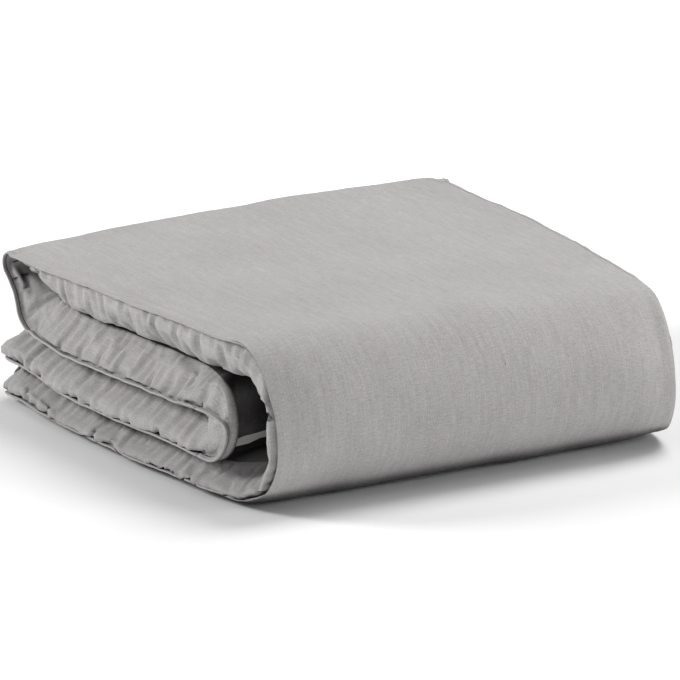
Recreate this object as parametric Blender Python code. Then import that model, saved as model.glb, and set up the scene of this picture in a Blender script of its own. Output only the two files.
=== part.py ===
"""Folded duvet: a linen cover and its insert, folded in half twice into a stack of four runs.

Metres, +Z up. The runs lie along X with the large outer bend at +X, the seamed sides are at -Y and +Y,
and the origin is under the middle of the stack. The upper half (top run, tip and second run) lifts about
the crease of the inner bend, a line along Y, halfway up.
"""
import math

import bmesh
import bpy

# Driving dimensions
foldLength = 0.500        # button faces to the outside of the outer bend, along X
foldWidth = 0.500         # flange edge to flange edge, along Y
runThickness = 0.0390     # one run, cover and insert together
clothThickness = 0.0012   # linen cover panel
shellThickness = 0.0008   # cotton shell of the insert
fit = 0.0003              # clearance between pieces that touch
runGap = 0.0004           # between a run and the one it lies on
foldRadius = 0.0003       # inside radius of the inner bend
flange = 0.006            # outer panel's edge beyond the puffed side
sideRadius = 0.010        # rounding of a run's side, away from the flange
shellRadius = 0.005       # rounding of the insert, next to the flange
tipInset = 0.004          # tip, measured in from the button faces
tipThickness = 0.014      # padding at the tip, where the filling has slid away
tipRadius = 0.009         # middle of the padding round the tip
tipFall = math.radians(45)  # slope of the tip's underside
tipBlendRadius = 0.035    # where the tip's underside meets the second run
tipTaper = 0.100          # length over which the top run thins towards the tip
innerBendInset = 0.124    # middle of the inner bend, in from the outside of the outer bend
thirdRunInset = 0.008     # end of the third run, in from the button faces
tieRoom = 0.005           # between an end of the insert and the end of the cover
tieLength = 0.045
tieWidth = 0.008
tieThickness = 0.0016
tieCornerInset = 0.020    # tie, in from the puffed side
tieCornerRadius = 0.0015
endCornerRadius = 0.002   # corners of the cloth that closes the head end
hemThickness = 0.0016
hemSideInset = 0.003      # hem, in from the puffed side
hemBottom = 0.0015        # hem's lower edge above the floor
hemCornerRadius = 0.006
buttonRadius = 0.0075
buttonThickness = 0.0030
buttonRim = 0.0008
buttonHoleRadius = 0.0009
buttonHoleSpacing = 0.0034
buttonSpacing = 0.150
buttonCount = 3
labelLength = 0.024
labelDrop = 0.016
labelThickness = 0.0008
labelPlace = 0.090        # label's middle, in from the end of the third run

# Worked out from them
outerRadius = 2 * runThickness + foldRadius + runGap
middleZ = outerRadius
topHeight = 2 * outerRadius
rightEnd = foldLength / 2
leftEnd = -foldLength / 2
outerBendX = rightEnd - outerRadius
innerBendX = rightEnd - innerBendInset
outerMiddle = outerRadius - runThickness / 2
innerMiddle = foldRadius + runThickness / 2
puffHalfWidth = foldWidth / 2 - flange
bottomRunEnd = leftEnd + buttonThickness + 2 * hemThickness + 3 * fit
thirdRunEnd = leftEnd + thirdRunInset
tipLeft = leftEnd + tipInset
bendSteps = 12
innerBendSteps = 8
tipSteps = 8
cornerSteps = 3

colours = {
    "linen": (0.42, 0.405, 0.405, 0.92),
    "cotton": (0.86, 0.85, 0.82, 0.85),
    "wadding": (0.93, 0.92, 0.90, 0.95),
    "shell button": (0.55, 0.52, 0.48, 0.35),
    "label": (0.88, 0.87, 0.84, 0.80),
}


def clearScene():
    for obj in list(bpy.data.objects):
        bpy.data.objects.remove(obj, do_unlink=True)


def material(name):
    found = bpy.data.materials.get(name)
    if found:
        return found
    made = bpy.data.materials.new(name)
    made.use_nodes = True
    red, green, blue, roughness = colours[name]
    shader = made.node_tree.nodes["Principled BSDF"]
    shader.inputs["Base Color"].default_value = (red, green, blue, 1)
    shader.inputs["Roughness"].default_value = roughness
    return made


def objectFrom(mesh, name, materialName):
    bmesh.ops.recalc_face_normals(mesh, faces=mesh.faces)
    data = bpy.data.meshes.new(name)
    mesh.to_mesh(data)
    mesh.free()
    data.materials.append(material(materialName))
    data.shade_smooth()
    data.set_sharp_from_angle(angle=math.radians(35))
    made = bpy.data.objects.new(name, data)
    bpy.context.scene.collection.objects.link(made)
    return made


# A path is a list of stations (x, z, nx, nz, thickness). The normal points to the cover's outer panel.

def arcPath(centreX, centreZ, radius, start, stop, steps, thickness, outward):
    """Stations round an arc, in degrees. The normal points away from the centre, or to it."""
    side = 1 if outward else -1
    path = []
    for step in range(steps + 1):
        angle = math.radians(start + (stop - start) * step / steps)
        cosine, sine = math.cos(angle), math.sin(angle)
        x, z = centreX + radius * cosine, centreZ + radius * sine
        path.append((x, z, side * cosine, side * sine, thickness))
    return path


def straightPath(startX, stopX, z, normalZ):
    return [(startX, z, 0.0, normalZ, runThickness), (stopX, z, 0.0, normalZ, runThickness)]


def tipPath():
    """From the top run round the loose tip to the second run, thin at the tip."""
    taperStart = tipLeft + tipTaper
    outerTip = tipRadius + tipThickness / 2
    arcX = tipLeft + outerTip
    arcZ = topHeight - outerTip
    path = []
    for step in range(tipSteps):
        share = step / tipSteps
        eased = share * share * (3 - 2 * share)
        thickness = runThickness + (tipThickness - runThickness) * eased
        x = taperStart + (arcX - taperStart) * share
        path.append((x, topHeight - thickness / 2, 0.0, 1.0, thickness))
    turn = math.pi - tipFall
    for step in range(tipSteps + 1):
        angle = math.pi / 2 + turn * step / tipSteps
        cosine, sine = math.cos(angle), math.sin(angle)
        path.append((arcX + tipRadius * cosine, arcZ + tipRadius * sine, cosine, sine, tipThickness))
    secondRunZ = middleZ + innerMiddle
    startX, startZ = path[-1][0], path[-1][1]
    blendDrop = tipBlendRadius * (1 - math.cos(tipFall))
    slopeDrop = startZ - secondRunZ - blendDrop
    slopeX = slopeDrop / math.tan(tipFall)
    normalX, normalZ = -math.sin(tipFall), -math.cos(tipFall)
    half = (tipThickness + runThickness) / 2
    path.append((startX + slopeX / 2, startZ - slopeDrop / 2, normalX, normalZ, (tipThickness + half) / 2))
    blendX = startX + slopeX + tipBlendRadius * math.sin(tipFall)
    for step in range(tipSteps // 2 + 1):
        share = step / (tipSteps // 2)
        angle = tipFall * (1 - share)
        thickness = half + (runThickness - half) * share
        x = blendX - tipBlendRadius * math.sin(angle)
        z = secondRunZ + tipBlendRadius * (1 - math.cos(angle))
        path.append((x, z, -math.sin(angle), -math.cos(angle), thickness))
    return path


def cornerArc(centreN, centreY, radius, start):
    """Points of a quarter round in a section, from the start angle in degrees on."""
    points = []
    for step in range(cornerSteps + 1):
        angle = math.radians(start + 90 * step / cornerSteps)
        points.append((centreN + radius * math.cos(angle), centreY + radius * math.sin(angle)))
    return points


def puffRadius(thickness):
    """Rounding of the run's puffed side, less where the run is thin."""
    return min(sideRadius, 0.45 * thickness)


def paddedSection(thickness, inset):
    """Rounded outline of the insert, that far inside the run's outline. n runs to the outer panel."""
    low = -thickness / 2 + inset
    high = thickness / 2 - inset
    half = puffHalfWidth - inset
    lowRadius = puffRadius(thickness) - inset
    highRadius = min(shellRadius, 0.3 * thickness)
    return (cornerArc(high - highRadius, half - highRadius, highRadius, 0)
            + cornerArc(low + lowRadius, half - lowRadius, lowRadius, 90)
            + cornerArc(low + lowRadius, lowRadius - half, lowRadius, 180)
            + cornerArc(high - highRadius, highRadius - half, highRadius, 270))


def traySection(thickness):
    """Inner panel: across the run's inner side and up both puffed sides to the outer panel."""
    high = thickness / 2 - clothThickness - fit
    outline = []
    for inset, turned in ((0.0, False), (clothThickness, True)):
        low = -thickness / 2 + inset
        half = puffHalfWidth - inset
        radius = puffRadius(thickness) - inset
        side = ([(high, half)] + cornerArc(low + radius, half - radius, radius, 90)
                + cornerArc(low + radius, radius - half, radius, 180) + [(high, -half)])
        outline += reversed(side) if turned else side
    return outline


def panelSection(thickness):
    """Outer panel: flat across the run and out to both flange edges."""
    high = thickness / 2
    low = high - clothThickness
    half = foldWidth / 2
    return [(high, half), (low, half), (low, -half), (high, -half)]


def rings(mesh, path, section):
    made = []
    for x, z, normalX, normalZ, thickness in path:
        ring = []
        for n, y in section(thickness):
            ring.append(mesh.verts.new((x + normalX * n, y, z + normalZ * n)))
        made.append(ring)
    return made


def joinRings(mesh, made):
    for near, far in zip(made, made[1:]):
        for index in range(len(near)):
            after = (index + 1) % len(near)
            mesh.faces.new((near[index], near[after], far[after], far[index]))


def sweep(name, path, section, materialName):
    mesh = bmesh.new()
    made = rings(mesh, path, section)
    joinRings(mesh, made)
    mesh.faces.new(made[0])
    mesh.faces.new(made[-1])
    return objectFrom(mesh, name, materialName)


def sleeve(name, path, outerInset, wall, materialName):
    """A tube along the path, open at both ends."""
    mesh = bmesh.new()
    outer = rings(mesh, path, lambda thickness: paddedSection(thickness, outerInset))
    inner = rings(mesh, path, lambda thickness: paddedSection(thickness, outerInset + wall))
    joinRings(mesh, outer)
    joinRings(mesh, inner)
    for end in (0, -1):
        count = len(outer[end])
        for index in range(count):
            after = (index + 1) % count
            corners = (outer[end][index], outer[end][after], inner[end][after], inner[end][index])
            mesh.faces.new(corners)
    return objectFrom(mesh, name, materialName)


def roundedPlate(name, low, high, radius, materialName):
    """A plate across X, with its four corners rounded in the YZ plane."""
    mesh = bmesh.new()
    outline = []
    left, right = low[1] + radius, high[1] - radius
    under, over = low[2] + radius, high[2] - radius
    corners = ((right, over, 0), (left, over, 90), (left, under, 180), (right, under, 270))
    for centreY, centreZ, start in corners:
        outline += cornerArc(centreY, centreZ, radius, start)
    base = mesh.faces.new([mesh.verts.new((low[0], y, z)) for y, z in outline])
    pushed = bmesh.ops.extrude_face_region(mesh, geom=[base])["geom"]
    moved = [item for item in pushed if isinstance(item, bmesh.types.BMVert)]
    bmesh.ops.translate(mesh, verts=moved, vec=(high[0] - low[0], 0, 0))
    return objectFrom(mesh, name, materialName)


def addEndWall(tray, endX, z):
    """Closes the head end of the inner panel with cloth turned up to the outer panel."""
    low = (endX, -puffHalfWidth, z - runThickness / 2)
    high = (endX + clothThickness, puffHalfWidth, z + runThickness / 2 - clothThickness - fit)
    wall = roundedPlate("end wall", low, high, endCornerRadius, "linen")
    join = tray.modifiers.new("end wall", "BOOLEAN")
    join.operation = "UNION"
    join.object = wall
    wall.hide_render = True
    wall.display_type = "WIRE"


# Middle heights of the four runs, and the paths of the bends between them
bottomZ = middleZ - outerMiddle
thirdZ = middleZ - innerMiddle
secondZ = middleZ + innerMiddle
topZ = middleZ + outerMiddle
outerBend = arcPath(outerBendX, middleZ, outerMiddle, -90, 90, bendSteps, runThickness, True)
innerBend = arcPath(innerBendX, middleZ, innerMiddle, 90, -90, innerBendSteps, runThickness, False)
tip = tipPath()


def upperHalfPath():
    """Top run, tip and second run, clear of the bends at both ends."""
    start = (outerBendX - fit, topZ, 0.0, 1.0, runThickness)
    stop = (innerBendX - fit, secondZ, 0.0, -1.0, runThickness)
    return [start] + tip + [stop]


def buildCover():
    for layer, section in (("outer_panel", panelSection), ("inner_panel", traySection)):
        bottom = straightPath(bottomRunEnd, outerBendX - fit, bottomZ, -1)
        path = straightPath(thirdRunEnd, innerBendX - fit, thirdZ, 1)
        sweep(layer + "_bottom_run", bottom, section, "linen")
        sweep(layer + "_outer_bend", outerBend, section, "linen")
        sweep(layer + "_upper_half", upperHalfPath(), section, "linen")
        sweep(layer + "_inner_bend", innerBend, section, "linen")
        third = sweep(layer + "_third_run", path, section, "linen")
        if layer == "inner_panel":
            addEndWall(third, thirdRunEnd, thirdZ)


def buildInsert():
    footEnd = bottomRunEnd + tieRoom
    headEnd = thirdRunEnd + clothThickness + tieRoom
    shellInset = clothThickness + fit
    shells = {
        "bottom_run": straightPath(footEnd, outerBendX - fit, bottomZ, -1),
        "outer_bend": outerBend,
        "upper_half": upperHalfPath(),
        "inner_bend": innerBend,
        "third_run": straightPath(headEnd, innerBendX - fit, thirdZ, 1),
    }
    for name, path in shells.items():
        sleeve("insert_shell_" + name, path, shellInset, shellThickness, "cotton")
    fillings = {
        "bottom_run": straightPath(footEnd, outerBendX - fit, bottomZ, -1),
        "outer_bend": outerBend,
        "top_run": straightPath(tip[0][0] + fit, outerBendX - fit, topZ, 1),
        "tip": tip,
        "second_run": straightPath(tip[-1][0] + fit, innerBendX - fit, secondZ, -1),
        "inner_bend": innerBend,
        "third_run": straightPath(headEnd, innerBendX - fit, thirdZ, 1),
    }
    fillingInset = shellInset + shellThickness + fit
    for name, path in fillings.items():
        sweep("filling_" + name, path, lambda thickness: paddedSection(thickness, fillingInset), "wadding")


def buildTies():
    ends = {"foot": (bottomRunEnd + fit, bottomZ), "head": (thirdRunEnd + clothThickness + fit, thirdZ)}
    for end, (x, z) in ends.items():
        for side, sign in (("near", -1), ("far", 1)):
            outerY = sign * (puffHalfWidth - tieCornerInset)
            innerY = outerY - sign * tieLength
            low = (x, min(outerY, innerY), z - tieWidth / 2)
            high = (x + tieThickness, max(outerY, innerY), z + tieWidth / 2)
            roundedPlate("corner_tie_" + end + "_" + side, low, high, tieCornerRadius, "cotton")


def buildFootClosure():
    half = puffHalfWidth - hemSideInset
    innerX = bottomRunEnd - fit - hemThickness
    outerX = innerX - fit - hemThickness
    top = runThickness - hemBottom
    for name, x in (("foot_hem_inner", innerX), ("foot_hem_outer", outerX)):
        roundedPlate(name, (x, -half, hemBottom), (x + hemThickness, half, top), hemCornerRadius, "linen")
    faceX = outerX - fit
    for number in range(buttonCount):
        y = (number - (buttonCount - 1) / 2) * buttonSpacing
        buildButton("button_" + str(number + 1), faceX, y, bottomZ)


def buildButton(name, faceX, y, z):
    """A turned disc with a raised rim and four holes, its back against the hem."""
    mesh = bmesh.new()
    rimRadius = buttonRadius - buttonRim
    dish = buttonThickness - buttonRim
    profile = ((0, 0), (buttonRadius - buttonRim / 2, 0), (buttonRadius, buttonRim),
               (buttonRadius, dish), (buttonRadius - buttonRim / 2, buttonThickness),
               (rimRadius - buttonRim / 2, buttonThickness), (rimRadius - buttonRim, dish), (0, dish))
    points = [mesh.verts.new((-depth, radius, 0)) for radius, depth in profile]
    edges = [mesh.edges.new(pair) for pair in zip(points, points[1:])]
    bmesh.ops.spin(mesh, geom=points + edges, cent=(0, 0, 0), axis=(1, 0, 0), angle=2 * math.pi, steps=24,
                   use_merge=True)
    bmesh.ops.remove_doubles(mesh, verts=mesh.verts, dist=1e-6)
    bmesh.ops.translate(mesh, verts=mesh.verts, vec=(faceX, y, z))
    button = objectFrom(mesh, name, "shell button")
    cutter = bmesh.new()
    holeCentre = buttonHoleSpacing / 2
    for side, height in ((1, 1), (-1, 1), (-1, -1), (1, -1)):
        drilled = bmesh.ops.create_cone(cutter, cap_ends=True, segments=10, radius1=buttonHoleRadius,
                                        radius2=buttonHoleRadius, depth=3 * buttonThickness)["verts"]
        for point in drilled:
            along, across, up = point.co.z, point.co.x, point.co.y
            point.co = (faceX + along, y + side * holeCentre + across, z + height * holeCentre + up)
    holes = objectFrom(cutter, name + " holes", "shell button")
    holes.hide_render = True
    holes.display_type = "WIRE"
    cut = button.modifiers.new("holes", "BOOLEAN")
    cut.operation = "DIFFERENCE"
    cut.object = holes


def buildLabel():
    """A blank tab sewn into the far side seam, hanging against the puffed side of the third run."""
    middle = thirdRunEnd + labelPlace
    top = thirdZ + runThickness / 2 - clothThickness - fit
    mesh = bmesh.new()
    bmesh.ops.create_cube(mesh, size=1)
    bmesh.ops.scale(mesh, verts=mesh.verts, vec=(labelLength, labelThickness, labelDrop))
    bmesh.ops.translate(mesh, verts=mesh.verts,
                        vec=(middle, puffHalfWidth + fit + labelThickness / 2, top - labelDrop / 2))
    objectFrom(mesh, "care_label", "label")


clearScene()
buildCover()
buildInsert()
buildTies()
buildFootClosure()
buildLabel()
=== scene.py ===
import math

import bmesh
import bpy
import numpy as np
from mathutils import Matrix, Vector, noise


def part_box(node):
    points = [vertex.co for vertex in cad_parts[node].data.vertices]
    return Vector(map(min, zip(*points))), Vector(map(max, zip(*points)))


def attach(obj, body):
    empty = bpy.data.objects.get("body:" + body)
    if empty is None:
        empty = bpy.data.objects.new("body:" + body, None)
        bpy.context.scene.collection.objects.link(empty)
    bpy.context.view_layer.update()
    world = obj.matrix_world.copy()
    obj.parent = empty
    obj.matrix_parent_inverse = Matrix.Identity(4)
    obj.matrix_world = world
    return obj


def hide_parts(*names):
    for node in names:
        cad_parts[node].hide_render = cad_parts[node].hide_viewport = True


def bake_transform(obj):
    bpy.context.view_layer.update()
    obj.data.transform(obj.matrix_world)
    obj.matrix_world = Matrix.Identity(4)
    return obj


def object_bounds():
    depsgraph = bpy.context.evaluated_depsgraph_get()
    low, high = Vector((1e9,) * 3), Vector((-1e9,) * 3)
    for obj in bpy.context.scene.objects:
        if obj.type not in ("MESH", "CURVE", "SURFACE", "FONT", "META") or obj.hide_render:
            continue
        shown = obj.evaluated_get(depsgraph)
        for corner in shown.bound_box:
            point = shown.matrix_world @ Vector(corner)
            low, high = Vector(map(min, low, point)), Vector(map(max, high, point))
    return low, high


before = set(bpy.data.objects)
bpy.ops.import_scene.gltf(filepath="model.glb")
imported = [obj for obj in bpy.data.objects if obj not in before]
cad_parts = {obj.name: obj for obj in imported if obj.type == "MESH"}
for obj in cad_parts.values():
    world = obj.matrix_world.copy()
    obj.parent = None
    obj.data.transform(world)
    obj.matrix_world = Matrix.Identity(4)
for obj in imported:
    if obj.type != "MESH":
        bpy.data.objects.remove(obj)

# Looks of a folded duvet in a linen cover. Metres, +Z up, in the frame of the CAD.
# The strip runs: bottom run, outer bend (+X), top run, tip (-X), second run, inner bend (+X), third run.

cadBox = [list(corner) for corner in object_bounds()]
stackHeight = cadBox[1][2] - cadBox[0][2]
middleZ = stackHeight / 2

strip = {
    "run": stackHeight / 4 - 0.0003,                # thickness of one run
    "outerX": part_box("filling_outer_bend")[0][0],   # where the outer bend starts
    "innerX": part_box("filling_inner_bend")[0][0],   # where the inner bend starts
    "halfWidth": 0.2475,                            # middle of the stack to the side seam
    "tipLeft": -0.2460,
    "tipRadius": 0.009,
    "tipThickness": 0.012,
    "tipTaper": 0.110,
    "tipFall": math.radians(42),
    "tipBlend": 0.035,
    "footEnd": -0.2410,
    "headEnd": -0.2400,
    "step": 0.0034,                                 # one cell along the strip
}
# Soft changes to the square stack at its four corners: along X, Y and Z
lean = {
    "nearTip": (-0.003, -0.002, -0.001),
    "farTip": (-0.003, 0.004, 0.005),
    "nearBend": (0.005, 0.025, 0.012),
    "farBend": (0.002, -0.018, -0.002),
    "farBendTop": 0.008,
    "bendTuck": 0.003,        # the outer bend's foot, drawn in under the stack
    "nearSwell": 0.013,       # the sides stand out in the middle
    "farSwell": 0.018,
    "crown": 0.006,           # the top, in the middle of the tip's edge
    "edgeSag": 0.0085,        # the inner runs sink towards their side seams
    "sagReach": 0.080,
}
band = {
    "rows": 16,               # cells down a side band
    "outerCells": 84,         # cells across the outer panel
    "innerCells": 30,
    "edgeDrop": 0.0045,       # a run is thinner towards its side seams
    "edgeReach": 0.045,
    "outerBunch": 0.024,      # padding that fills the outer bend, deep inside
    "innerBunch": 0.020,      # padding bunched up inside the inner bend
    "hollow": 0.046,          # how far the inner bend is drawn in behind its hem
    "hollowMost": 0.0115,     # it is drawn in no further than this past its middle
    "pleat": 0.0150,
    "pleatDepth": 0.0019,
    "looseness": 0.10,        # extra cloth in the side bands
    "frames": 24,
    "mostMove": 0.006,
}
partNames = ["bottomRun", "outerBend", "topRun", "tip", "secondRun", "innerBend", "thirdRun"]

# Side profiles: share of the thickness down from the outer panel, and distance in from the seam
profiles = {
    "bottomRun": [(0, 0.008), (0.06, 0.0), (0.17, -0.002), (0.22, 0.0005), (0.40, -0.004), (0.64, -0.003),
                  (0.82, 0.003), (0.94, 0.012), (1, 0.022)],
    "outerBend": [(0, 0.007), (0.02, 0.001), (0.05, 0.0), (0.10, 0.016), (0.24, 0.020), (0.33, 0.004),
                  (0.48, -0.001), (0.60, 0.003), (0.72, 0.018), (0.88, 0.038), (1, 0.058)],
    "topRun": [(0, 0.010), (0.02, 0.003), (0.06, 0.0), (0.11, 0.0055), (0.28, 0.001), (0.50, 0.001),
               (0.72, 0.005), (0.90, 0.012), (1, 0.022)],
    "tip": [(0, 0.007), (0.04, 0.002), (0.12, 0.0), (0.20, 0.004), (0.42, 0.009), (0.60, 0.018),
            (0.75, 0.030), (0.90, 0.044), (1, 0.060)],
    "secondRun": [(0, 0.011), (0.03, 0.003), (0.07, 0.0), (0.12, 0.003), (0.30, 0.002), (0.50, 0.004),
                  (0.72, 0.008), (0.90, 0.014), (1, 0.024)],
    "innerBend": [(0, 0.024), (0.07, 0.014), (0.22, 0.004), (0.42, -0.002), (0.64, -0.003), (0.80, 0.001),
                  (0.88, 0.003), (0.93, 0.0), (1, 0.011)],
    "thirdRun": [(0, 0.024), (0.07, 0.012), (0.20, 0.002), (0.40, -0.004), (0.64, -0.005), (0.80, 0.0),
                 (0.88, 0.0025), (0.93, 0.0), (1, 0.012)],
}


def smooth(share):
    share = np.clip(share, 0.0, 1.0)
    return share * share * (3 - 2 * share)


def softened(values, times):
    out = values.astype(float)
    for _ in range(times):
        wide = np.concatenate([out[:1], out, out[-1:]])
        out = (wide[:-2] + 2 * wide[1:-1] + wide[2:]) / 4
    return out


def wander(values, size, seed):
    # A smooth random line, about -1 to 1
    return np.array([noise.noise(Vector((v / size, seed * 1.73, seed * 0.61))) for v in values]) * 1.6


def field(points, size, seed):
    return np.array([noise.noise(Vector((p[0] / size[0], p[1] / size[1], seed * 2.17))) for p in points]) * 1.6


def stripPath(step):
    # Stations: middle of the strip (x, z), direction to the outer panel, thickness, part
    run, radius = strip["run"], middleZ - strip["run"] / 2
    stations = []

    def straight(x0, x1, z, nz, part):
        count = max(2, round(abs(x1 - x0) / step))
        for k in range(count):
            stations.append((x0 + (x1 - x0) * k / count, z, 0.0, nz, run, part))

    def turn(cx, cz, r, start, sweep, outwardSide, thickness, part, finer=1):
        count = max(6, round(abs(sweep) * r * finer / step))
        for k in range(count):
            a = start + sweep * k / count
            c, s = math.cos(a), math.sin(a)
            stations.append((cx + r * c, cz + r * s, outwardSide * c, outwardSide * s, thickness, part))

    straight(strip["footEnd"], strip["outerX"], run / 2, -1.0, 0)
    turn(strip["outerX"], middleZ, radius, -math.pi / 2, math.pi, 1, run, 1)
    taperX = strip["tipLeft"] + strip["tipTaper"]
    straight(strip["outerX"], taperX, stackHeight - run / 2, 1.0, 2)
    thin, tipRadius, fall = strip["tipThickness"], strip["tipRadius"], strip["tipFall"]
    arcX = strip["tipLeft"] + tipRadius + thin / 2
    arcZ = stackHeight - tipRadius - thin / 2
    count = round((taperX - arcX) / step)
    for k in range(count):
        thickness = run + (thin - run) * float(smooth(k / count))
        stations.append((taperX + (arcX - taperX) * k / count, stackHeight - thickness / 2, 0.0, 1.0, thickness, 2))
    turn(arcX, arcZ, tipRadius, math.pi / 2, math.pi - fall, 1, thin, 3, finer=1.6)
    # Down the slope under the tip, then level into the second run
    secondZ = middleZ + run / 2 + 0.0006
    blend = strip["tipBlend"]
    x0 = arcX + tipRadius * math.cos(1.5 * math.pi - fall)
    z0 = arcZ + tipRadius * math.sin(1.5 * math.pi - fall)
    slopeDrop = z0 - secondZ - blend * (1 - math.cos(fall))
    slope = slopeDrop / math.sin(fall)
    length = slope + blend * fall
    count = round(length / step)
    for k in range(count):
        gone = length * k / count
        thickness = thin + (run - thin) * float(smooth(k / count)) * 0.96
        a = fall if gone < slope else fall - (gone - slope) / blend
        down = min(gone, slope)
        x = x0 + down * math.cos(fall) + blend * (math.sin(fall) - math.sin(a))
        z = z0 - down * math.sin(fall) - blend * (math.cos(a) - math.cos(fall))
        stations.append((x, z, -math.sin(a), -math.cos(a), thickness, 3))
    levelX = x0 + slope * math.cos(fall) + blend * math.sin(fall)
    straight(levelX, strip["innerX"], secondZ, -1.0, 4)
    inner = run / 2 + 0.0006
    turn(strip["innerX"], middleZ, inner, math.pi / 2, -math.pi, -1, run, 5)
    straight(strip["innerX"], strip["headEnd"], middleZ - inner, 1.0, 6)
    stations.append((strip["headEnd"], middleZ - inner, 0.0, 1.0, run, 6))
    return np.array(stations)


def sideRows(part, count):
    # Rows down a side band, with one row on the seam
    points = np.array(profiles[partNames[part]], float)
    place = np.linspace(0, len(points) - 1, count + 1)
    share = np.interp(place, range(len(points)), points[:, 0])
    inset = np.interp(place, range(len(points)), points[:, 1])
    seam = count // 4 if part < 5 else count - count // 8
    return share, inset, seam


def stripRings(step, rows, outerCells, innerCells, tighter=0.0):
    # The whole strip as rings of points, as (stations, columns, 3), with the place along it and across it
    stations = stripPath(step)
    x, z, nx, nz, thickness, part = stations.T
    part = part.astype(int)
    along = np.concatenate([[0], np.cumsum(np.hypot(np.diff(x), np.diff(z)))])
    thickness = softened(thickness, 6)
    share = np.array([sideRows(p, rows)[0] for p in part])
    inset = np.array([sideRows(p, rows)[1] for p in part])
    blendCells = int(0.03 / step) ** 2
    for row in range(rows + 1):
        share[:, row] = softened(share[:, row], blendCells)
        inset[:, row] = softened(inset[:, row], blendCells)
    # The ends of the strip close to a seam, like a pillow
    level = np.where(part < 3, 0.14, 0.90)
    fromEnd = np.where(part < 3, along, along[-1] - along)
    roundness = 0.016
    closing = np.sqrt(np.clip(1 - (1 - np.clip(fromEnd / roundness, 0, 1)) ** 2, 0, 1))
    closing = np.where((part == 0) | (part == 6), 0.16 + 0.84 * closing, 1.0)
    share = level[:, None] + (share - level[:, None]) * closing[:, None]
    corner = np.where((part == 0) | (part == 6), 0.012 * (1 - closing) ** 2, 0)
    # Waves in the seam and in the loose inner layer of the outer bend
    half = strip["halfWidth"] - corner
    sides = {}
    for sign, seed in ((-1, 3.0), (1, 8.0)):
        wave = 0.0016 * wander(along, 0.09, seed) + 0.0008 * wander(along, 0.03, seed + 1)
        loose = 0.0030 * wander(along, 0.028, seed + 2) * softened((part == 1).astype(float), blendCells)
        deep = np.clip((share - 0.16) / 0.12, 0, 1)
        sides[sign] = sign * (half[:, None] + wave[:, None] - inset - tighter - loose[:, None] * deep)
    ripple = 0.15 * wander(along, 0.021, 13.0) * softened((part == 1).astype(float), blendCells)
    inLayer = np.exp(-((share - 0.60) / 0.20) ** 2)
    offset = thickness[:, None] * (0.5 - share - ripple[:, None] * inLayer)
    offset = offset * (1 - 18 * tighter) if tighter else offset
    # The inner bend is fuller on its inside, where the padding bunches up
    bunch = np.zeros(len(x))
    for number, name in ((1, "outerBunch"), (5, "innerBunch")):
        inBend = part == number
        bunch[inBend] = band[name] * np.sin(np.linspace(0, math.pi, inBend.sum())) ** 0.8
    offset -= bunch[:, None] * np.clip(share * 2 - 1, 0, 1) * np.where(part == 5, 1, 0)[:, None]
    columns, across = [], []
    girth = np.concatenate([np.zeros((len(x), 1)), np.cumsum(np.hypot(np.diff(inset, axis=1),
                            np.diff(share, axis=1) * thickness[:, None]), axis=1)], axis=1)
    for cell in range(1, outerCells):
        t = cell / outerCells
        columns.append((sides[-1][:, 0] * (1 - t) + sides[1][:, 0] * t, offset[:, 0], 0))
    for row in range(rows + 1):
        columns.append((sides[1][:, row], offset[:, row], 1))
    for cell in range(1, innerCells):
        t = cell / innerCells
        columns.append((sides[1][:, -1] * (1 - t) + sides[-1][:, -1] * t, offset[:, -1], 2))
    for row in range(rows, -1, -1):
        columns.append((sides[-1][:, row], offset[:, row], 3))
    y = np.array([c[0] for c in columns]).T
    off = np.array([c[1] for c in columns]).T
    # Behind its hem the inner bend is drawn in, and leaves a hollow
    depth = strip["halfWidth"] - np.abs(y)
    behind = smooth((depth - 0.004) / 0.024) * smooth((0.150 - depth) / 0.060) * (part[:, None] == 5)
    drawn = (band["hollow"] + 0.35 * tighter) * (bunch / band["innerBunch"]) ** (0.4 if tighter else 1.0)
    off = np.where(off < 0, np.minimum(off + drawn[:, None] * behind, band["hollowMost"]), off)
    # Deeper in, the outer bend's padding fills the hollow
    filled = smooth((depth - 0.075) / 0.060) * (part[:, None] == 1)
    off = off - bunch[:, None] * filled * (off < 0)
    kind = np.array([c[2] for c in columns])
    # A run thins towards its side seams
    near = smooth((np.abs(y) - (strip["halfWidth"] - band["edgeReach"])) / band["edgeReach"])
    drop = band["edgeDrop"] * near * np.where(part[:, None] == 3, 0.3, 1)
    off = off - np.sign(off) * drop * np.abs(off) / (thickness[:, None] / 2 + 1e-9)
    points = np.stack([x[:, None] + nx[:, None] * off, y, z[:, None] + nz[:, None] * off], axis=2)
    return {"points": points, "along": along, "part": part, "kind": kind, "girth": girth, "normal": stations[:, 2:4],
            "rows": rows, "outerCells": outerCells, "innerCells": innerCells, "thickness": thickness}


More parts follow.
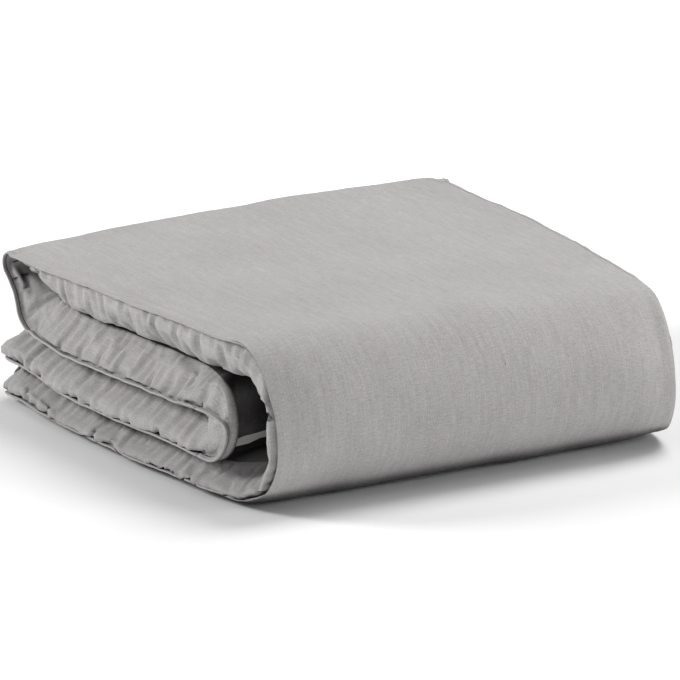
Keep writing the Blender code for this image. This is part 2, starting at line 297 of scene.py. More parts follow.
def leanStack(points):
    # The soft stack isn't square: it narrows towards the outer bend and its bend leans out at the top
    x, y, z = points[..., 0], points[..., 1], points[..., 2]
    toBend = np.clip(x / 0.5 + 0.5, 0, 1)
    toFar = np.clip(y / 0.5 + 0.5, 0, 1)
    up = z / stackHeight
    weights = {"nearTip": (1 - toBend) * (1 - toFar), "farTip": (1 - toBend) * toFar,
               "nearBend": toBend * (1 - toFar), "farBend": toBend * toFar}
    shift = sum(w[..., None] * np.array(lean[name]) for name, w in weights.items())
    out = points.copy()
    out[..., 0] += shift[..., 0]
    out[..., 1] += shift[..., 1]
    out[..., 2] += shift[..., 2] * up
    tuck = smooth((x - strip["outerX"]) / 0.07) * smooth((0.075 - z) / 0.075)
    out[..., 0] -= lean["bendTuck"] * tuck
    swell = np.where(y < 0, -lean["nearSwell"] * (1 - smooth((z - 0.085) / 0.05)), lean["farSwell"])
    out[..., 1] -= lean["farBendTop"] * toBend * toFar * up
    out[..., 1] += swell * 4 * toBend * (1 - toBend) * (y / strip["halfWidth"]) ** 2
    out[..., 2] += lean["crown"] * 4 * toFar * (1 - toFar) * (1 - toBend) * up
    reach = smooth((np.abs(y) - (strip["halfWidth"] - lean["sagReach"])) / lean["sagReach"])
    depth = smooth(z / 0.036) * smooth((0.150 - z) / 0.034)
    out[..., 2] -= lean["edgeSag"] * reach * depth * smooth((x + 0.22) / 0.12)
    return out


def sideColumns(rings, sign):
    # Columns of one side band, from the outer panel to the inner one
    rows, outer, inner = rings["rows"], rings["outerCells"], rings["innerCells"]
    far = list(range(outer - 1, outer - 1 + rows + 1))
    first = outer - 1 + rows + 1 + inner - 1
    return far if sign > 0 else list(range(first + rows, first - 1, -1))


def meshFrom(name, points, faces):
    data = bpy.data.meshes.new(name)
    data.from_pydata([tuple(p) for p in points], [], faces)
    made = bpy.data.objects.new(name, data)
    bpy.context.scene.collection.objects.link(made)
    return made


def noiseAt(value, seed):
    return noise.noise(Vector((value, seed * 1.9, 0.4)))


def ringFaces(stationCount, columnCount):
    index = np.arange(stationCount * columnCount).reshape(stationCount, columnCount)
    after = np.roll(index, -1, axis=1)
    return [tuple(f) for f in np.stack([index[:-1], index[1:], after[1:], after[:-1]], -1).reshape(-1, 4).tolist()]


def fixNormals(piece):
    mesh = bmesh.new()
    mesh.from_mesh(piece.data)
    bmesh.ops.recalc_face_normals(mesh, faces=mesh.faces)
    mesh.to_mesh(piece.data)
    mesh.free()


def pleatSide(rings, points, sign):
    # The start of the pleats, so that the gathers fall at a sewn spacing
    columns = sideColumns(rings, sign)
    grid = points[:, columns]
    along, part = rings["along"], rings["part"]
    count = len(columns) - 1
    phase = along / band["pleat"] + 0.9 * wander(along, 0.05, 21.0 + sign)
    depth = band["pleatDepth"] * (0.65 + 0.45 * wander(along, 0.035, 31.0 + sign))
    wave = depth * np.sin(2 * math.pi * phase)
    wave *= np.array([1.0, 0.5, 0.9, 0.3, 0.35, 0.8, 1.0])[part]
    rows = np.arange(count + 1)
    early, late = count // 4 + 1, count - count // 8 - 1
    down = np.where(part[:, None] < 5, smooth((rows - early) / 2.5) * smooth((count - rows) / 5),
                    smooth(rows / 4) * smooth((late - rows) / 2.5))
    lift = softened(wave, 1)[:, None] * down
    across = np.gradient(grid, axis=1)
    down3 = np.gradient(grid, axis=0)
    normal = np.cross(across, down3)
    normal /= np.maximum(np.linalg.norm(normal, axis=2, keepdims=True), 1e-9)
    normal *= np.where((normal[..., 1:2] * sign) < 0, -1, 1)
    points[:, columns] = grid + normal * lift[..., None]


def gatherSide(rings, points, sign):
    # The side band has more cloth than room. The simulation loosens the pleats, and how far it moves is capped
    columns = sideColumns(rings, sign)
    grid = points[:, columns]
    count, across = grid.shape[:2]
    index = np.arange(count * across).reshape(count, across)
    faces = np.stack([index[:-1, :-1], index[1:, :-1], index[1:, 1:], index[:-1, 1:]], -1).reshape(-1, 4)
    piece = meshFrom("side_cloth", grid.reshape(-1, 3), faces.tolist())
    pinned = piece.vertex_groups.new(name="pinned")
    seamRow = rings["rows"] // 4
    lateSeam = rings["rows"] - rings["rows"] // 8
    fixed = set(index[0]) | set(index[-1]) | set(index[:, 0]) | set(index[:, -1])
    for k in range(count):
        held = range(seamRow + 2) if rings["part"][k] < 5 else range(lateSeam - 1, across)
        fixed.update(index[k, row] for row in held)
    pinned.add([int(i) for i in fixed], 1.0, "REPLACE")
    cloth = piece.modifiers.new("cloth", "CLOTH")
    settings = cloth.settings
    settings.vertex_group_mass = "pinned"
    settings.quality = 6
    settings.mass = 0.15
    settings.tension_stiffness = settings.compression_stiffness = 18
    settings.shear_stiffness = 6
    settings.bending_stiffness = 0.02
    settings.air_damping = 4
    settings.shrink_min = settings.shrink_max = -band["looseness"]
    settings.effector_weights.gravity = 0.15
    cloth.collision_settings.use_collision = False
    cloth.collision_settings.use_self_collision = False
    scene = bpy.context.scene
    cloth.point_cache.frame_start, cloth.point_cache.frame_end = 1, band["frames"]
    for number in range(1, band["frames"] + 1):
        scene.frame_set(number)
    evaluated = piece.evaluated_get(bpy.context.evaluated_depsgraph_get())
    moved = np.array([v.co for v in evaluated.data.vertices]).reshape(count, across, 3)
    bpy.data.objects.remove(piece, do_unlink=True)
    scene.frame_set(1)
    shift = moved - grid
    size = np.linalg.norm(shift, axis=2, keepdims=True)
    shift *= np.minimum(1, band["mostMove"] / np.maximum(size, 1e-9))
    below = np.clip((np.arange(across) - seamRow - 1) / 3, 0, 1)
    shift *= np.where(rings["part"][:, None] < 5, below, 1.0)[:, :, None]
    print("side cloth", "far" if sign > 0 else "near", "moved up to", round(float(size.max()) * 1000, 1), "mm")
    return columns, grid + shift


rings = stripRings(strip["step"], band["rows"], band["outerCells"], band["innerCells"])
points = leanStack(rings["points"])
print("strip:", points.shape, "points,", round(float(rings["along"][-1]), 3), "m along")
for sign in (-1, 1):
    pleatSide(rings, points, sign)
    columns, moved = gatherSide(rings, points, sign)
    points[:, columns] = moved


def panelSwells(rings, points):
    # Low swells of the padding, ironed ripples along the strip, and a few creases in the top
    creases = [((0.105, -0.125), (0.178, -0.096), 0.0009), ((-0.12, -0.215), (-0.03, -0.205), 0.0007),
               ((-0.05, 0.09), (0.06, 0.12), 0.0004), ((0.02, -0.03), (0.10, 0.0), 0.0004)]
    stationCount, columnCount = points.shape[:2]
    along = np.repeat(rings["along"][:, None], columnCount, 1)
    flat = np.stack([along.ravel(), points[..., 1].ravel()], 1)
    swell = 0.0016 * field(flat, (0.16, 0.14), 1.0) + 0.0007 * field(flat, (0.07, 0.05), 2.0)
    swell += 0.00020 * field(flat, (0.10, 0.0065), 3.0)
    swell = swell.reshape(stationCount, columnCount)
    kind, part, normal = rings["kind"], rings["part"][:, None], rings["normal"]
    swell = swell * np.where(kind == 0, 1.0, 0.5)[None, :]
    x, y = points[..., 0], points[..., 1]
    top = (kind[None, :] == 0) & (part <= 2) & (points[..., 2] > 0.7 * stackHeight)
    for (x0, y0), (x1, y1), height in creases:
        length = math.hypot(x1 - x0, y1 - y0)
        t = ((x - x0) * (x1 - x0) + (y - y0) * (y1 - y0)) / length ** 2
        away = ((x - x0) * (y1 - y0) - (y - y0) * (x1 - x0)) / length
        ridge = np.exp(-((away + 0.004 * np.sin(t * 5)) / 0.0028) ** 2) * smooth(t * 4) * smooth((1 - t) * 4)
        swell = swell + np.where(top, height * ridge, 0)
    swell = np.where((part == 0) & (kind[None, :] == 0), 0.2 * np.minimum(swell, 0), swell)
    side = np.where(kind == 0, 1.0, -1.0)[None, :]
    points[..., 0] += swell * side * normal[:, :1]
    points[..., 2] += swell * side * normal[:, 1:]
    points[..., 2] = np.maximum(points[..., 2], 0.0003)


panelSwells(rings, points)


# The strip is cut where the lifting half meets the part that stays
def cuts(rings):
    part, z = rings["part"], rings["points"][:, rings["outerCells"] // 2, 2]
    underTip = int(np.where((part == 3) & (z < 0.80 * stackHeight))[0][0])
    return {"main": (0, underTip), "secondRun": (underTip, int(np.where(part == 5)[0][0])),
            "innerBend": (int(np.where(part == 5)[0][0]), int(np.where(part == 6)[0][0])),
            "thirdRun": (int(np.where(part == 6)[0][0]), len(part) - 1)}


class Shell:
    # Points, faces and cloth coordinates of one piece, gathered from its surfaces
    def __init__(self):
        self.points, self.faces, self.cloth, self.normals = [], [], [], []

    def add(self, points, faces, cloth, normals=None):
        start = len(self.points)
        self.points += [tuple(p) for p in points]
        self.faces += [tuple(int(i) + start for i in face) for face in faces]
        self.cloth += cloth
        self.normals += [tuple(n) for n in (normals if normals is not None else np.zeros((len(points), 3)))]

    def build(self, name, material):
        piece = meshFrom(name, self.points, self.faces)
        data = piece.data
        layer = data.uv_layers.new(name="cloth")
        flat = np.array([uv for face in self.cloth for uv in face], np.float32)
        layer.data.foreach_set("uv", flat.ravel())
        data.shade_smooth()
        data.normals_split_custom_set_from_vertices(self.normals)
        data.materials.append(material)
        return piece


def ringGrid(rings, points, first, last):
    # Faces and cloth coordinates of the rings from first to last
    ring = np.arange(points.shape[1])
    after = np.roll(ring, -1)
    count = points.shape[1]
    kind, girth, rows, outer = rings["kind"], rings["girth"], rings["rows"], rings["outerCells"]
    farStart, nearStart = outer - 1, outer - 1 + rows + 1 + rings["innerCells"] - 1
    y = points[..., 1]
    edge = np.abs(y[:, farStart])[:, None]
    left = np.where(kind == 0, y, 0.0)
    left[:, farStart:farStart + rows + 1] = edge + girth
    left[:, nearStart:nearStart + rows + 1] = -(edge + girth[:, ::-1])
    inner = kind == 2
    left[:, inner] = 1.0 - y[:, inner]
    right = left[:, after].copy()
    farLast, innerLast = farStart + rows, nearStart - 1
    right[:, farLast] = left[:, farLast] + 0.015
    left = left.copy()
    innerEnd = left[:, nearStart] - 0.015
    faces, cloth = [], []
    along = rings["along"]
    for k in range(first, last):
        a, b = (k - first) * count, (k - first + 1) * count
        for c in range(count):
            d = after[c]
            faces.append((a + c, a + d, b + d, b + c))
            l0, l1 = (innerEnd[k], innerEnd[k + 1]) if c == innerLast else (left[k, c], left[k + 1, c])
            cloth.append(((along[k], l0), (along[k], right[k, c]), (along[k + 1], right[k + 1, c]),
                          (along[k + 1], l1)))
    return faces, cloth


def ringNormals(points):
    # Smooth normals of the whole strip, so that the cuts don't show
    around = np.roll(points, -1, axis=1) - np.roll(points, 1, axis=1)
    down = np.gradient(points, axis=0)
    normal = np.cross(around, down)
    return normal / np.maximum(np.linalg.norm(normal, axis=2, keepdims=True), 1e-9)


def closeRing(shell, ring, normal, up, forward, s):
    # A closed end inside the cloth, which meets in a line halfway between the two panels
    side = np.sign((ring - ring.mean(axis=0)) @ up + 1e-9)
    apart = np.abs(ring[:, 1][:, None] - ring[:, 1][None, :]) + 10 * (side[:, None] == side[None, :])
    middle = (ring + ring[np.argmin(apart, axis=1)]) / 2
    count = len(ring)
    order = [(i, (i + 1) % count) for i in range(count)]
    faces = [(i, count + i, count + j, j) if forward else (i, j, count + j, count + i) for i, j in order]
    cloth = [((s, 0.0), (s, 0.01), (s + 0.01, 0.01), (s + 0.01, 0.0))] * count
    shell.add(list(ring) + list(middle), faces, cloth, [normal] * (2 * count))


seam = {
    "width": [0.0030, 0.0034, 0.0030, 0.0036, 0.0055, 0.0090, 0.0036],   # one for each part of the strip
    "thickness": [0.0020, 0.0018, 0.0018, 0.0018, 0.0024, 0.0030, 0.0022],
    "droop": [4, 12, 18, 10, 24, 10, -10],
    "pucker": 0.0011,
    "puckerSize": 0.011,
}


def seamPath(rings, points, sign):
    # Points along the seam, the way out of it, and its width and thickness
    columns = sideColumns(rings, sign)
    grid = points[:, columns]
    part, rows, along = rings["part"], rings["rows"], rings["along"]
    early, late = rows // 4, rows - rows // 8
    row = np.where(part < 5, early, late)
    k = np.arange(len(row))
    path = grid[k, row].copy()
    # At the inner bend the seam runs straight on, to the back of the bend, and returns under the third run
    start, stop = int(np.where(part == 5)[0][0]), int(np.where(part == 6)[0][0])
    turn = (start + stop) // 2
    t = np.linspace(0, 1, turn - start + 1)[:, None]
    straight = grid[start, early] * (1 - t) + grid[turn, late] * t
    straight[:, 2] += 0.003 * np.sin(math.pi * t[:, 0])
    path[start:turn + 1] = straight
    spread = 90
    width = softened(np.array(seam["width"])[part], spread)
    right = softened(smooth((points[:, 10, 0] - 0.02) / 0.10) * (part == 4), 20)
    width = width + 0.0035 * right
    thickness = softened(np.array(seam["thickness"])[part], spread)
    droop = np.radians(softened(np.array(seam["droop"], float)[part], spread))
    normal = rings["normal"]
    flat = np.stack([normal[:, 0], np.zeros(len(part)), normal[:, 1]], 1)
    pucker = seam["pucker"] * wander(along, seam["puckerSize"], 41.0 + sign)
    droop = droop + pucker / width * (0.4 + right + (part == 5))
    out = np.array([0.0, float(sign), 0.0]) * np.cos(droop)[:, None] - flat * np.sin(droop)[:, None]
    # Round the inner bend the seam stands out from its back
    bend = smooth((k - start) / (turn - start)) * smooth((stop + 6 - k) / 9)
    lean45 = np.array([0.70, sign * 0.70, -0.12])
    out = out * (1 - bend[:, None]) + lean45 * bend[:, None]
    out /= np.linalg.norm(out, axis=1, keepdims=True)
    for axis in range(3):
        path[start - 6:stop + 7, axis] = softened(path[start - 6:stop + 7, axis], 2)
    tangent = np.gradient(path, axis=0)
    tangent /= np.maximum(np.linalg.norm(tangent, axis=1, keepdims=True), 1e-9)
    over = np.cross(out, tangent)
    over /= np.maximum(np.linalg.norm(over, axis=1, keepdims=True), 1e-9)
    return path, out, over, width + 0.0004 * wander(along, 0.02, 51.0 + sign), thickness


def addSeam(shell, path, out, over, width, thickness, along):
    # A turned and pressed seam: a flat fold of cloth with a rounded edge
    outline = [(-0.25, 0.5), (0.25, 0.55), (0.6, 0.42), (0.88, 0.5), (1.0, 0.25), (1.0, -0.25), (0.88, -0.5),
               (0.6, -0.42), (0.25, -0.55), (-0.25, -0.5)]
    count, size = len(path), len(outline)
    points = np.array([path + out * (width * u)[:, None] + over * (thickness * v)[:, None] for u, v in outline])
    points = points.transpose(1, 0, 2).reshape(-1, 3)
    points[:, 2] = np.maximum(points[:, 2], 0.0002)
    faces, cloth = [], []
    for k in range(count - 1):
        for i in range(size):
            j = (i + 1) % size
            faces.append((k * size + i, k * size + j, (k + 1) * size + j, (k + 1) * size + i))
            v0, v1 = 2.0 + i * 0.002, 2.0 + (i + 1) * 0.002
            cloth.append(((along[k], v0), (along[k], v1), (along[k + 1], v1), (along[k + 1], v0)))
    faces.append(tuple(reversed(range(size))))
    cloth.append(tuple((along[0], 2.0 + i * 0.002) for i in reversed(range(size))))
    faces.append(tuple((count - 1) * size + i for i in range(size)))
    cloth.append(tuple((along[-1], 2.0 + i * 0.002) for i in range(size)))
    shell.add(points, faces, cloth)


def coverPiece(name, rings, points, normals, seams, span, material, shadedLining=None):
    shell = Shell()
    first, last = span
    faces, cloth = ringGrid(rings, points, first, last)
    shell.add(points[first:last + 1].reshape(-1, 3), faces, cloth, normals[first:last + 1].reshape(-1, 3))
    along = rings["along"]
    for end, forward in ((first, True), (last, False)):
        sideways = rings["normal"][end]
        face = np.array([sideways[1], 0, -sideways[0]]) * (1 if forward else -1)
        up = np.array([sideways[0], 0, sideways[1]])
        closeRing(shell, points[end], face, up, forward, along[end])
    for path, out, over, width, thickness in seams:
        cut = slice(first, last + 1)
        addSeam(shell, path[cut], out[cut], over[cut], width[cut], thickness[cut], along[cut])
    piece = shell.build(name, material)
    if shadedLining is not None:
        # The panel that faces into the folds, in the same linen with a stronger painted shade
        piece.data.materials.append(shadedLining)
        count, start = points.shape[1], rings["outerCells"] - 1 + rings["rows"]
        index = np.zeros(len(piece.data.polygons), np.int32)
        inward = np.zeros(count, np.int32)
        inward[start:start + rings["innerCells"]] = 1
        index[:(last - first) * count] = np.tile(inward, last - first)
        piece.data.polygons.foreach_set("material_index", index)
    return piece


# Shader groups and materials
def addSocket(tree, name, kind, out=False, value=None):
    socket = tree.interface.new_socket(name, in_out="OUTPUT" if out else "INPUT", socket_type=kind)
    if value is not None:
        socket.default_value = value


def maths(tree, operation, a, b=None, c=None):
    node = tree.nodes.new("ShaderNodeMath")
    node.operation = operation
    for socket, value in zip(node.inputs, (a, b, c)):
        if isinstance(value, (int, float)):
            socket.default_value = value
        elif value is not None:
            tree.links.new(value, socket)
    return node.outputs[0]


def noiseNode(tree, vector, scale, detail=2.0, rough=0.5):
    node = tree.nodes.new("ShaderNodeTexNoise")
    node.inputs["Scale"].default_value = scale
    node.inputs["Detail"].default_value = detail
    node.inputs["Roughness"].default_value = rough
    tree.links.new(vector, node.inputs["Vector"])
    return node.outputs["Fac"]


def stretched(tree, vector, x, y):
    node = tree.nodes.new("ShaderNodeVectorMath")
    node.operation = "MULTIPLY"
    tree.links.new(vector, node.inputs[0])
    node.inputs[1].default_value = (x, y, 1)
    return node.outputs[0]


def weaveGroup():
    # Plain weave of slubby yarn on cloth coordinates in metres
    tree = bpy.data.node_groups.new("plainWeave", "ShaderNodeTree")
    addSocket(tree, "Cloth", "NodeSocketVector")
    addSocket(tree, "Threads", "NodeSocketFloat", value=7000.0)
    addSocket(tree, "Slubs", "NodeSocketFloat", value=1.0)
    addSocket(tree, "Mottle", "NodeSocketFloat", value=1.0)
    addSocket(tree, "Shade", "NodeSocketFloat", out=True)
    addSocket(tree, "Height", "NodeSocketFloat", out=True)
    addSocket(tree, "Flecks", "NodeSocketFloat", out=True)
    given, made = tree.nodes.new("NodeGroupInput"), tree.nodes.new("NodeGroupOutput")
    cloth, threads = given.outputs["Cloth"], given.outputs["Threads"]
    parts = tree.nodes.new("ShaderNodeSeparateXYZ")
    tree.links.new(cloth, parts.inputs[0])
    wobble = maths(tree, "MULTIPLY", maths(tree, "SUBTRACT", noiseNode(tree, cloth, 180.0), 0.5), 0.0012)
    warp = maths(tree, "SINE", maths(tree, "MULTIPLY", maths(tree, "ADD", parts.outputs[1], wobble), threads))
    weft = maths(tree, "SINE", maths(tree, "MULTIPLY", maths(tree, "ADD", parts.outputs[0], wobble), threads))
    crossing = maths(tree, "MULTIPLY", warp, weft)
    yarnAlong = noiseNode(tree, stretched(tree, cloth, 55, 820), 1.0, 3.0, 0.6)
    yarnAcross = noiseNode(tree, stretched(tree, cloth, 820, 110), 1.0, 3.0, 0.6)
    longSlub = noiseNode(tree, stretched(tree, cloth, 13.0, 190), 1.0, 3.0, 0.6)
    crossSlub = noiseNode(tree, stretched(tree, cloth, 260, 30), 1.0, 3.0, 0.6)
    grain = noiseNode(tree, cloth, 900.0, 2.0, 0.6)
    mottle = noiseNode(tree, cloth, 11.0, 4.0, 0.6)
    yarns = maths(tree, "SUBTRACT", maths(tree, "ADD", yarnAlong, yarnAcross), 1.0)
    slubs = maths(tree, "ADD", maths(tree, "MULTIPLY", maths(tree, "SUBTRACT", longSlub, 0.5), 0.30),
                  maths(tree, "MULTIPLY", maths(tree, "SUBTRACT", crossSlub, 0.5), 0.08))
    slubs = maths(tree, "MULTIPLY", slubs, given.outputs["Slubs"])
    clouds = maths(tree, "MULTIPLY", maths(tree, "SUBTRACT", mottle, 0.5), given.outputs["Mottle"])
    shade = maths(tree, "ADD", maths(tree, "MULTIPLY", yarns, 0.6), slubs)
    shade = maths(tree, "ADD", shade, maths(tree, "MULTIPLY", maths(tree, "SUBTRACT", grain, 0.5), 1.15))
    shade = maths(tree, "ADD", shade, maths(tree, "MULTIPLY", clouds, 0.28))
    shade = maths(tree, "ADD", shade, maths(tree, "MULTIPLY", crossing, 0.05))
    shade = maths(tree, "ADD", shade, 0.5)
    height = maths(tree, "ADD", maths(tree, "MULTIPLY", yarns, 0.9), maths(tree, "MULTIPLY", slubs, 1.1))
    height = maths(tree, "ADD", height, maths(tree, "MULTIPLY", crossing, 0.16))
    height = maths(tree, "ADD", height, maths(tree, "MULTIPLY", grain, 0.7))
    cells = tree.nodes.new("ShaderNodeTexVoronoi")
    cells.inputs["Scale"].default_value = 55.0
    tree.links.new(stretched(tree, cloth, 0.6, 1.4), cells.inputs["Vector"])
    rare = maths(tree, "GREATER_THAN", noiseNode(tree, cloth, 31.0, 0.0), 0.62)
    flecks = maths(tree, "MULTIPLY", maths(tree, "LESS_THAN", cells.outputs["Distance"], 0.045), rare)
    tree.links.new(shade, made.inputs["Shade"])
    tree.links.new(height, made.inputs["Height"])
    tree.links.new(flecks, made.inputs["Flecks"])
    return tree


def paintedShadeGroup():
    # Painted shade: darkens the cloth's colour deep in a fold, by ambient occlusion, on top of the shadow the lamps
    # cast
    tree = bpy.data.node_groups.new("paintedFoldShade", "ShaderNodeTree")
    addSocket(tree, "Reach", "NodeSocketFloat", value=0.08)
    addSocket(tree, "Shut", "NodeSocketFloat", value=0.10)
    addSocket(tree, "Open", "NodeSocketFloat", value=0.38)
    addSocket(tree, "Darkest", "NodeSocketFloat", value=0.05)
    addSocket(tree, "Mask", "NodeSocketFloat", out=True)
    given, made = tree.nodes.new("NodeGroupInput"), tree.nodes.new("NodeGroupOutput")
    around = tree.nodes.new("ShaderNodeAmbientOcclusion")
    tree.links.new(given.outputs["Reach"], around.inputs["Distance"])
    spread = tree.nodes.new("ShaderNodeMapRange")
    spread.interpolation_type = "SMOOTHSTEP"
    tree.links.new(around.outputs["AO"], spread.inputs["Value"])
    tree.links.new(given.outputs["Shut"], spread.inputs["From Min"])
    tree.links.new(given.outputs["Open"], spread.inputs["From Max"])
    tree.links.new(given.outputs["Darkest"], spread.inputs["To Min"])
    spread.inputs["To Max"].default_value = 1.0
    tree.links.new(spread.outputs["Result"], made.inputs["Mask"])
    return tree


weave, paintedFoldShade = weaveGroup(), paintedShadeGroup()


def clothMaterial(name, dark, light, fleck, roughness, sheen, bump, threads=7000.0, slubs=1.0, mottle=1.0,
                  objectSpace=False, fold=(0.10, 0.38)):
    made = bpy.data.materials.new(name)
    made.use_nodes = True
    tree = made.node_tree
    shader = tree.nodes["Principled BSDF"]
    if objectSpace:
        source = tree.nodes.new("ShaderNodeTexCoord").outputs["Object"]
        swap = tree.nodes.new("ShaderNodeMapping")
        swap.inputs["Rotation"].default_value = (0, math.radians(90), math.radians(90))
        tree.links.new(source, swap.inputs["Vector"])
        source = swap.outputs["Vector"]
    else:
        layer = tree.nodes.new("ShaderNodeUVMap")
        layer.uv_map = "cloth"
        source = layer.outputs["UV"]
    group = tree.nodes.new("ShaderNodeGroup")
    group.node_tree = weave
    tree.links.new(source, group.inputs["Cloth"])
    group.inputs["Threads"].default_value = threads
    group.inputs["Slubs"].default_value = slubs
    group.inputs["Mottle"].default_value = mottle
    ramp = tree.nodes.new("ShaderNodeValToRGB")
    ramp.color_ramp.elements[0].position, ramp.color_ramp.elements[1].position = 0.12, 0.88
    ramp.color_ramp.elements[0].color, ramp.color_ramp.elements[1].color = (*dark, 1), (*light, 1)
    tree.links.new(group.outputs["Shade"], ramp.inputs["Fac"])
    mix = tree.nodes.new("ShaderNodeMix")
    mix.data_type = "RGBA"
    tree.links.new(group.outputs["Flecks"], mix.inputs["Factor"])
    tree.links.new(ramp.outputs["Color"], mix.inputs[6])
    mix.inputs[7].default_value = (*fleck, 1)
    # Painted shade: the colour is mixed towards black where ambient occlusion finds a fold, over the range given by
    # fold
    paintedShadeNode = tree.nodes.new("ShaderNodeGroup")
    paintedShadeNode.node_tree = paintedFoldShade
    paintedShadeNode.inputs["Shut"].default_value, paintedShadeNode.inputs["Open"].default_value = fold
    shaded = tree.nodes.new("ShaderNodeMix")
    shaded.data_type = "RGBA"
    tree.links.new(paintedShadeNode.outputs["Mask"], shaded.inputs["Factor"])
    shaded.inputs[6].default_value = (0, 0, 0, 1)
    tree.links.new(mix.outputs[2], shaded.inputs[7])
    tree.links.new(shaded.outputs[2], shader.inputs["Base Color"])
    rough = maths(tree, "MULTIPLY_ADD", group.outputs["Shade"], -0.10, roughness + 0.05)
    tree.links.new(rough, shader.inputs["Roughness"])
    relief = tree.nodes.new("ShaderNodeBump")
    relief.inputs["Strength"].default_value = bump
    relief.inputs["Distance"].default_value = 0.0004
    tree.links.new(group.outputs["Height"], relief.inputs["Height"])
    tree.links.new(relief.outputs["Normal"], shader.inputs["Normal"])
    shader.inputs["Specular IOR Level"].default_value = 0.25
    shader.inputs["Sheen Weight"].default_value = sheen
    shader.inputs["Sheen Roughness"].default_value = 0.45
    shader.inputs["Sheen Tint"].default_value = (0.86, 0.85, 0.86, 1)
    return made


linen = clothMaterial("greyLinen", (0.285, 0.272, 0.270), (0.520, 0.503, 0.503), (0.19, 0.18, 0.17), 0.86, 0.12, 0.55)
# The same linen with a stronger painted shade in its folds, for the panel that faces into them
shadedInnerLinen = clothMaterial("shadedInnerLinen", (0.285, 0.272, 0.270), (0.520, 0.503, 0.503), (0.19, 0.18, 0.17), 0.86, 0.12,
                           0.55, fold=(0.27, 0.74))
cotton = clothMaterial("whiteCotton", (0.74, 0.73, 0.70), (0.88, 0.87, 0.85), (0.7, 0.69, 0.66), 0.88, 0.08, 0.3,
                       9000.0, 0.3, 0.4)
tape = clothMaterial("cottonTape", (0.60, 0.59, 0.56), (0.80, 0.79, 0.76), (0.6, 0.59, 0.56), 0.85, 0.05, 0.4,
                     11000.0, 0.2, 0.3, objectSpace=True)
hemLinen = clothMaterial("hemLinen", (0.285, 0.272, 0.270), (0.520, 0.503, 0.503), (0.19, 0.18, 0.17), 0.86, 0.12,
                         0.55, objectSpace=True)
thread = clothMaterial("sewingThread", (0.30, 0.29, 0.29), (0.46, 0.45, 0.45), (0.3, 0.29, 0.29), 0.7, 0.1, 0.5,
                       16000.0, 0.1, 0.3, objectSpace=True)

normals = ringNormals(points)
seams = [seamPath(rings, points, sign) for sign in (-1, 1)]
spans = cuts(rings)
pieces = {name: coverPiece("cover_" + name, rings, points, normals, seams, span, linen, shadedInnerLinen)
          for name, span in spans.items()}
for piece in pieces.values():
    print(piece.name, len(piece.data.polygons), "faces")


def holdTogether(pieces, prefix):
    # Which body each piece of the strip moves with
    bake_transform(pieces["main"])
    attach(pieces["secondRun"], "upper_half")
    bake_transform(pieces["innerBend"])
    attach(pieces["thirdRun"], "lower_half")
    nodes = {
        "main": ["bottom_run", "outer_bend", "top_run", "tip", "upper_half"],
        "secondRun": ["second_run", "upper_half"],
        "innerBend": ["inner_bend"],
        "thirdRun": ["third_run"],
    }
    for name, piece in pieces.items():
        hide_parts(*[layer + "_" + end for layer in prefix for end in nodes[name]
                             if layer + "_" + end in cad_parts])


holdTogether(pieces, ("outer_panel", "inner_panel"))


# The quilted insert inside the cover
insert = {"step": 0.010, "rows": 6, "cells": 30, "inside": 0.0170, "quiltAlong": 0.13, "quiltAcross": 0.12,
          "dimple": 0.0028, "short": 2}
inner = stripRings(insert["step"], insert["rows"], insert["cells"], insert["cells"], tighter=insert["inside"])
innerPoints = leanStack(inner["points"])
flatAlong = np.abs(np.sin(math.pi * inner["along"] / insert["quiltAlong"]))[:, None]
flatAcross = np.abs(np.sin(math.pi * (innerPoints[..., 1] / insert["quiltAcross"] + 0.5)))
channel = insert["dimple"] * (1 - np.minimum(1, 4 * np.minimum(flatAlong, flatAcross)) ** 0.5)
facing = np.where(inner["kind"] == 0, -1.0, 1.0)[None, :] * np.isin(inner["kind"], (0, 2))[None, :]
innerPoints[..., 0] += channel * facing * inner["normal"][:, :1]
innerPoints[..., 2] += channel * facing * inner["normal"][:, 1:]
innerPoints[..., 2] = np.maximum(innerPoints[..., 2], 0.002)
innerNormals = ringNormals(innerPoints)
insideCuts = cuts(inner)
insideCuts["main"] = (insert["short"], insideCuts["main"][1])
insideCuts["thirdRun"] = (insideCuts["thirdRun"][0], insideCuts["thirdRun"][1] - insert["short"])
insertPieces = {name: coverPiece("insert_" + name, inner, innerPoints, innerNormals, [], span, cotton)
                for name, span in insideCuts.items()}
holdTogether(insertPieces, ("insert_shell", "filling"))
print("insert ready")


